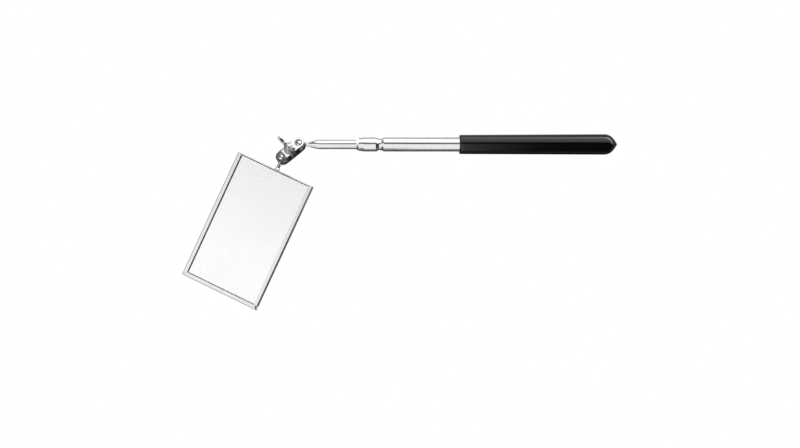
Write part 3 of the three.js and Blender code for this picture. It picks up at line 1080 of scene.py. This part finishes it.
def channel_section():
    """The tray's section across its width, as one folded sheet with rounded bends."""
    bend = 0.85
    edge = 0.2
    lip_edge = TRAY_WIDTH / 2 - LIP
    corners = []
    for inset, radius, side in ((0, bend, 1), (SHEET, bend - SHEET, -1)):
        x = TRAY_WIDTH / 2 - inset
        z = TRAY_DEPTH / 2 - inset
        corners += [
            (-side * lip_edge, z, edge),
            (-side * x, z, radius),
            (-side * x, -z, radius),
            (side * x, -z, radius),
            (side * x, z, radius),
            (side * lip_edge, z, edge),
        ]
    return rounded(corners, closed=True, steps=6)


def end_section(lip):
    """The fold at one end, in (outward, up): a wall, and a lip over the glass where lip is true."""
    bend = 0.75
    above_bed = 0.15
    below_lips = 0.1
    z = TRAY_DEPTH / 2
    low = -z + above_bed
    if lip:
        corners = [
            (0, low, 0.1),
            (0, z, bend),
            (-LIP, z, 0.2),
            (-LIP, z - SHEET, 0.2),
            (-SHEET, z - SHEET, 0.15),
            (-SHEET, low, 0.1),
        ]
    else:
        top = z - SHEET - below_lips
        corners = [(0, low, 0.1), (0, top, 0.25), (-SHEET, top, 0.2), (-SHEET, low, 0.1)]
    return rounded(corners, closed=True, steps=5)


def mitred_bar(section, half_length, mitre):
    """A section run along X with its ends cut at 45 degrees where mitre is true."""
    bm = bmesh.new()
    rows = []
    for side in (-1, 1):
        row = []
        for out, up in section:
            reach = half_length + (out if mitre else 0)
            row.append(bm.verts.new((side * reach, out, up)))
        rows.append(row)
    join_rings(bm, *rows)
    bm.faces.new(list(reversed(rows[0])))
    bm.faces.new(rows[1])
    return bm


def make_tray():
    """Side walls and lips run the full length. The end flaps are folded up against them. The lip of
    the flap away from the stem meets the side lips in mitres with a small notch, one side wall is cut
    away at its corner, and that lip's sheared edge is painted dark, as painted shade under the lip."""
    seam = 0.06
    shell_gap = 0.02
    stations = 24
    mitre_room = 0.25
    corner_cut = Vector((1.5, 2.8))
    cut_low = 0.3
    half = TRAY_LENGTH / 2
    side_wall = TRAY_WIDTH / 2
    lip_low = TRAY_DEPTH / 2 - SHEET - 0.05
    section = channel_section()
    bm = bmesh.new()
    rows = []
    low = -half + SHEET + seam
    high = half - shell_gap
    for step in range(stations + 1):
        y = low + (high - low) * step / stations
        rows.append([bm.verts.new((x, y, z)) for x, z in section])
    join_all(bm, rows)
    bm.faces.new(rows[0])
    bm.faces.new(list(reversed(rows[-1])))
    bmesh.ops.recalc_face_normals(bm, faces=bm.faces)
    outside = -half - 1
    for side in (-1, 1):
        outer = side * (side_wall + 1)
        inner = side * (side_wall - LIP - 1)
        wedge = [
            (outer, outside),
            (outer, outside + mitre_room),
            (inner, -half + LIP + 1 + mitre_room),
            (inner, outside),
        ]
        bm = cut(bm, prism(wedge, lip_low, TRAY_DEPTH))
    inner = side_wall - corner_cut.x
    block = [
        (inner, outside),
        (side_wall + 1, outside),
        (side_wall + 1, -half + corner_cut.y),
        (inner, -half + corner_cut.y),
    ]
    bm = cut(bm, prism(block, cut_low, TRAY_DEPTH))
    far = mitred_bar(end_section(lip=True), side_wall - shell_gap, mitre=True)
    far.transform(Matrix.Translation((0, -half, 0)) @ Matrix.Rotation(math.pi, 4, "Z"))
    bmesh.ops.recalc_face_normals(far, faces=far.faces)
    add_shell(bm, far)
    near = mitred_bar(end_section(lip=False), side_wall - SHEET - seam, mitre=False)
    near.transform(Matrix.Translation((0, half, 0)))
    add_shell(bm, near)
    bmesh.ops.recalc_face_normals(bm, faces=bm.faces)
    # The far lip's sheared inner edge takes the second material: painted shade under the lip.
    for face in bm.faces:
        middle = face.calc_center_median()
        at_lip = middle.z > lip_low and abs(middle.y + half - LIP) < 0.1
        if at_lip and face.normal.y > 0.5:
            face.material_index = 1
    bright = chrome("frame_chrome", streaks=(1, 12, 1), waviness=0.001)
    lip_shade = shade_dark_steel("frame_lip_painted_shade")
    add_piece("mirror_tray_folded", "mirror_frame", bm, MIRROR_FRAME, bright, lip_shade, sharp=35)


def make_glass():
    """Float glass with seamed edges, silvered behind."""
    seam = 0.18
    silver = 0.05
    silver_gap = 0.01
    silver_inset = seam + 0.05
    half_x = GLASS_WIDTH / 2
    half_y = GLASS_LENGTH / 2
    low = GLASS_FACE + silver
    high = GLASS_FACE + GLASS_THICKNESS
    bm = bmesh.new()
    rings = []
    for inset, z in ((seam, low), (0, low + seam), (0, high - seam), (seam, high)):
        rings.append([bm.verts.new(p) for p in rectangle(half_x - inset, half_y - inset, z)])
    join_all(bm, rings)
    for face in bm.faces:
        face.material_index = 1
    bm.faces.new(list(reversed(rings[0])))
    bm.faces.new(rings[-1])
    clear = float_glass("mirror_glass_clear")
    ground = ground_edge("mirror_glass_edge")
    add_piece("mirror_plate_glass", "mirror_glass", bm, MIRROR_FRAME, clear, ground, sharp=10)
    corners = rectangle(half_x - silver_inset, half_y - silver_inset)
    back = prism(corners, GLASS_FACE, low - silver_gap)
    coat = silvering("mirror_silver_coat")
    add_piece("mirror_silvering", "mirror_glass", back, MIRROR_FRAME, coat, sharp=10)


def make_card():
    play = 0.1
    x = TRAY_WIDTH / 2 - SHEET - play
    y = TRAY_LENGTH / 2 - SHEET - play
    corners = rounded_rectangle(x, y, 0.6)
    pad = prism(corners, CARD_FACE, CARD_FACE + CARD_THICKNESS)
    add_piece("backing_card", "backing_pad", pad, MIRROR_FRAME, grey_card("backing_card_fibre"))


# ---- Studio ----

CAMERA_HEIGHT = 0.760
VIEW_WIDTH = 0.544
VIEW_CENTRE = Vector((0.00066, -0.00126, 0))


def make_camera():
    """Straight above the middle of the tool, with +Y up in the picture."""
    lens = bpy.data.cameras.new("camera")
    lens.sensor_width = 36
    lens.lens = lens.sensor_width * CAMERA_HEIGHT / VIEW_WIDTH
    camera = add_object("camera", lens)
    camera.location = VIEW_CENTRE + Vector((0, 0, CAMERA_HEIGHT))
    bpy.context.scene.camera = camera


FLOOR_HALF = 3.0
FLOOR_DROP = 0.0002
FLOOR_GREY = 0.42


def make_floor():
    """A pale sweep. The lens sees it washed out to white, and the metal sees how it is really lit."""
    bm = bmesh.new()
    bm.faces.new([bm.verts.new(corner) for corner in rectangle(FLOOR_HALF, FLOOR_HALF, 0)])
    mesh = bpy.data.meshes.new("floor")
    bm.to_mesh(mesh)
    bm.free()
    floor = add_object("floor", mesh)
    material = bpy.data.materials.new("pale_floor")
    material.use_nodes = True
    tree = material.node_tree
    tree.nodes.clear()
    paint = tree.nodes.new("ShaderNodeBsdfDiffuse")
    paint.inputs["Color"].default_value = (FLOOR_GREY, FLOOR_GREY, FLOOR_GREY, 1)
    glow = tree.nodes.new("ShaderNodeEmission")
    path = tree.nodes.new("ShaderNodeLightPath")
    either = tree.nodes.new("ShaderNodeMixShader")
    output = tree.nodes.new("ShaderNodeOutputMaterial")
    tree.links.new(path.outputs["Is Camera Ray"], either.inputs[0])
    tree.links.new(paint.outputs[0], either.inputs[1])
    tree.links.new(glow.outputs[0], either.inputs[2])
    tree.links.new(either.outputs[0], output.inputs["Surface"])
    floor.data.materials.append(material)
    floor.location.z = -FLOOR_DROP


# Brightness of the studio round the X axis, as degrees from straight up towards +Y and a level.
# The key side is a bright wall, and the fill is a canopy overhead that leans to the near side.
KEY_WALL = ((13, 0.0), (21, 0.3), (30, 0.8), (48, 1.0), (90, 0.94))
FILL_CANOPY = (
    (-90, 0.42), (-86, 0.75), (-76, 0.95), (-50, 0.98), (-10, 1.0), (-1, 0.8), (6, 0.06), (18, 0.06),
)
KEY_LEVEL = 1.6
FILL_LEVEL = 1.25
DIFFUSE_SHARE = 0.05

# The sideways numbers below are the X part of a direction, from -1 at the left to 1 at the right.
# The canopy fades out a little to the right of straight up, to the share that is left beyond.
CANOPY_EDGE = (0.0, 0.12)
CANOPY_BEYOND = 0.05

# The wall fades out to the left. Both sides of the gap turn towards the key there, the wall at once
# and the canopy further out, so the gap is widest a little to the left.
WALL_END = (-0.50, -0.36)
WALL_BEYOND = 0.15
WALL_SKEW = 0.5
CANOPY_SKEW = 0.7
CANOPY_SKEW_START = 0.12

# The canopy's low near side stops short to the left: degrees, and where it fades out sideways.
NEAR_BAND = (-82, -60)
NEAR_END = (-0.26, -0.06)
NEAR_BEYOND = 0.1

# Low down, the key side gets brighter to the right: degrees, and the extra level it has at a place.
LAMP_BAND = (50, 90)
LAMP_SIDEWAYS = 0.5
LAMP_LEVEL = 6.5

# The softbox, in metres.
KEY_PLACE = Vector((-0.02, 0.30, 0.13))
KEY_AIM = Vector((-0.05, 0.05, 0))
KEY_SIZE = 0.12
KEY_WATTS = 2.0


def level_ramp(tree, angle, stops):
    """A ramp of brightness over the angle round X, which runs from -90 to 90 degrees."""
    scaled = map_range(tree, angle, -math.pi / 2, math.pi / 2, 0, 1)
    ramp = tree.nodes.new("ShaderNodeValToRGB")
    elements = ramp.color_ramp.elements
    elements.remove(elements[0])
    for index, (degrees, level) in enumerate(stops):
        position = (degrees + 90) / 180
        element = elements.new(position) if index else elements[0]
        element.position = position
        element.color = (level, level, level, 1)
    tree.links.new(scaled, ramp.inputs["Fac"])
    return ramp.outputs["Color"]


def calculate(tree, operation, *values):
    """A maths node, whose inputs are sockets or numbers."""
    node = tree.nodes.new("ShaderNodeMath")
    node.operation = operation
    for socket, value in zip(node.inputs, values):
        if isinstance(value, (int, float)):
            socket.default_value = value
        else:
            tree.links.new(value, socket)
    return node.outputs[0]


def make_world():
    """The studio round the tool: a key wall on its far side, a canopy, a dark gap between them. Matt
    surfaces get only a share of it, because the softbox lights them, and the lens sees it white."""
    world = bpy.data.worlds.new("studio")
    bpy.context.scene.world = world
    world.use_nodes = True
    tree = world.node_tree
    coordinates = tree.nodes.new("ShaderNodeTexCoord")
    split = tree.nodes.new("ShaderNodeSeparateXYZ")
    tree.links.new(coordinates.outputs["Generated"], split.inputs[0])
    sideways = split.outputs["X"]
    angle = calculate(tree, "ARCTAN2", split.outputs["Y"], split.outputs["Z"])

    def product(*values):
        return calculate(tree, "MULTIPLY", *values)

    def total(*values):
        return calculate(tree, "ADD", *values)

    def fade(value, start, end, low, high, kind="SMOOTHSTEP"):
        return map_range(tree, value, start, end, low, high, kind)

    def radians(band):
        return [math.radians(degrees) for degrees in band]

    def skewed(place, skew):
        return total(angle, product(calculate(tree, "MINIMUM", place, 0), skew))

    wall = product(level_ramp(tree, skewed(sideways, WALL_SKEW), KEY_WALL), KEY_LEVEL)
    wall = product(wall, fade(sideways, *WALL_END, WALL_BEYOND, 1))
    further_out = total(sideways, CANOPY_SKEW_START)
    canopy = product(level_ramp(tree, skewed(further_out, CANOPY_SKEW), FILL_CANOPY), FILL_LEVEL)
    above = fade(angle, *radians(NEAR_BAND), NEAR_BEYOND, 1)
    across = fade(sideways, *NEAR_END, NEAR_BEYOND, 1)
    canopy = product(canopy, calculate(tree, "MAXIMUM", above, across))
    canopy = product(canopy, fade(sideways, *CANOPY_EDGE, 1, CANOPY_BEYOND))
    low_down = fade(angle, *radians(LAMP_BAND), 0, 1)
    lamp = product(low_down, fade(sideways, 0, LAMP_SIDEWAYS, 0, LAMP_LEVEL, "LINEAR"))
    seen = total(total(wall, canopy), lamp)
    path = tree.nodes.new("ShaderNodeLightPath")
    lit = product(seen, fade(path.outputs["Is Diffuse Ray"], 0, 1, 1, DIFFUSE_SHARE))
    shown = calculate(tree, "MAXIMUM", lit, path.outputs["Is Camera Ray"])
    tree.links.new(shown, tree.nodes["Background"].inputs["Color"])


def make_key_light():
    """The low softbox that lights the floor and the matt pieces from the far side. The metal sees the
    wall instead."""
    light = bpy.data.lights.new("key", "AREA")
    light.shape = "SQUARE"
    light.size = KEY_SIZE
    light.energy = KEY_WATTS
    key = add_object("key", light)
    key.location = KEY_PLACE
    key.rotation_euler = (KEY_PLACE - KEY_AIM).to_track_quat("Z", "Y").to_euler()
    key.visible_glossy = False


def main():
    bpy.context.scene.view_settings.view_transform = "Standard"
    make_camera()
    make_floor()
    make_world()
    make_key_light()
    make_outer_tube()
    make_mouth_bush()
    make_end_plug()
    make_grip()
    make_inner_tube()
    make_shank()
    make_tail_plug()
    make_friction_spring()
    make_ball("rod_ball_polished", "rod_ball", ROD_FRAME)
    make_ball("mirror_ball_polished", "mirror_ball", STEM_FRAME)
    make_plate("front_plate_stamped", "front_plate", round_hole, 1)
    make_plate("rear_plate_stamped", "rear_plate", square_hole, -1)
    make_screw()
    make_flat_washer()
    make_spring_washer()
    make_wing_nut()
    make_stem()
    make_tray()
    make_glass()
    make_card()


main()
